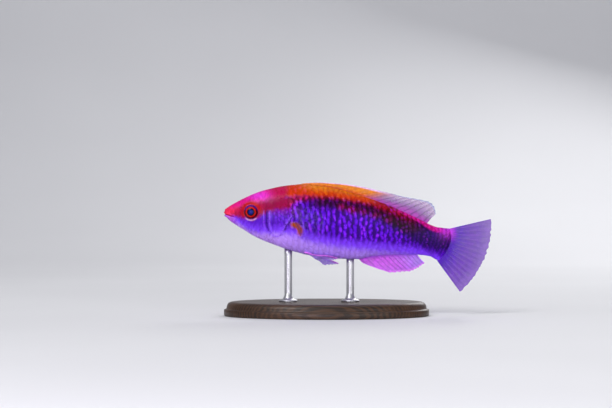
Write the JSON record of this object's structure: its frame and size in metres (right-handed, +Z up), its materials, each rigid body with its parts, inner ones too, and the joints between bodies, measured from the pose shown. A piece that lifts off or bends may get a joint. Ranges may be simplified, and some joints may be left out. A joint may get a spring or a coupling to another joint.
{
  "type": "fairy wrasse model",
  "caption": "Small slender reef fish with folded low dorsal fin, spread side fins and fan tail, held level over an oval base by two short rods.",
  "frame": {"origin": "middle of the whole model's length and width, on the floor under the base", "axes": "+Z up, +X from the snout to the tail, and the fish's left side faces -Y"},
  "size_m": [0.0761, 0.036, 0.0382],
  "materials": {
    "violet_skin": "satin",
    "lavender_skin": "satin",
    "clear_fin": "satin, see-through",
    "orange_fin": "satin",
    "pink_fin": "satin, see-through",
    "eye": "polished",
    "dark_wood": "satin varnish",
    "steel": "brushed"
  },
  "bodies": {
    "root": {"head": "violet_skin", "lower_jaw": "lavender_skin", "gill_cover_left": "violet_skin", "gill_cover_right": "violet_skin", "trunk": "violet_skin", "tail_stalk": "violet_skin", "eye_left": "eye", "eye_right": "eye", "dorsal_fin": "orange_fin", "anal_fin": "pink_fin", "tail_fin": "clear_fin", "pectoral_fin_left": "clear_fin", "pectoral_fin_right": "clear_fin", "pelvic_fin_left": "pink_fin", "pelvic_fin_right": "pink_fin", "stand_base": "dark_wood", "stand_rod_front": "steel", "stand_rod_rear": "steel"}
  },
  "joints": []
}
